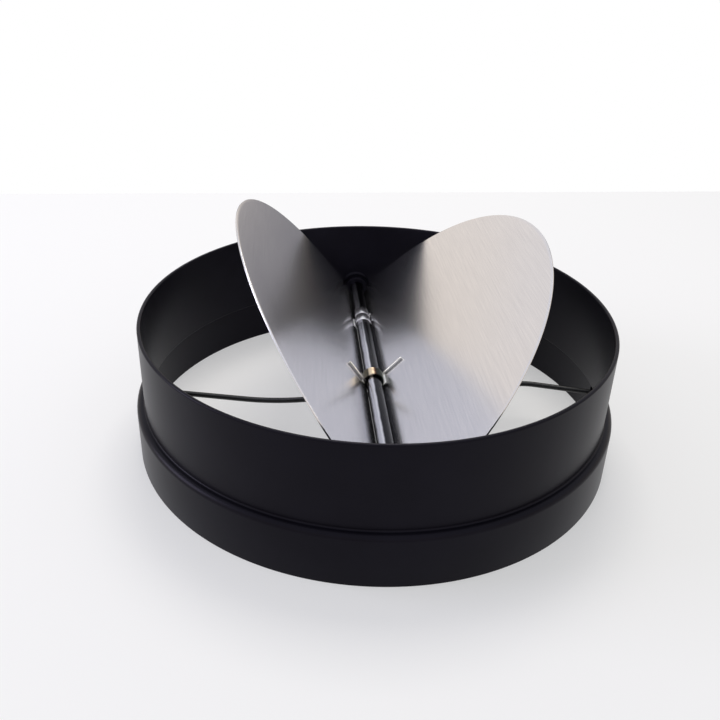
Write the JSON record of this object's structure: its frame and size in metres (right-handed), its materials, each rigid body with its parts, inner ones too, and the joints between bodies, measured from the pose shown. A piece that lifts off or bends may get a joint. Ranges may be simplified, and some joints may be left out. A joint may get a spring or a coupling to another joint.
{
  "type": "backdraft damper",
  "caption": "Round duct backdraft damper: a stepped black plastic sleeve with a hinge shaft across its bore, sprung half-disc aluminium blades and a bent stop rod under them.",
  "frame": {"origin": "centre of the sleeve's bottom rim, on the duct's axis", "axes": "+Z along the duct and the way the air flows, up out of the smaller spigot; the hinge shaft lies along Y; the left blade is on the -X side and the right blade on the +X side"},
  "size_m": [0.31, 0.31, 0.1514],
  "materials": {
    "black_abs": "injection moulded black ABS, satin",
    "black_steel": "black coated steel, glossy",
    "blade_sheet": "mill finish aluminium sheet, lightly brushed and scratched",
    "spring_wire": "drawn spring wire, yellow zinc plated",
    "rod_wire": "black coated steel wire"
  },
  "bodies": {
    "root": {"sleeve": "black_abs", "hinge_shaft": "black_steel", "torsion_spring": "spring_wire", "stop_rod": "rod_wire"},
    "left_blade": {"left_blade": "blade_sheet"},
    "right_blade": {"right_blade": "blade_sheet"}
  },
  "joints": [
    {"name": "left_blade_hinge", "type": "hinge", "parent": "root", "child": "left_blade", "pos_m": [0, 0, 0.038], "axis": [0, 1, 0], "range_deg": [-57, 30], "deforming": ["torsion_spring"]},
    {"name": "right_blade_hinge", "type": "hinge", "parent": "root", "child": "right_blade", "pos_m": [0, 0, 0.038], "axis": [0, -1, 0], "range_deg": [-49, 38], "deforming": ["torsion_spring"]}
  ]
}
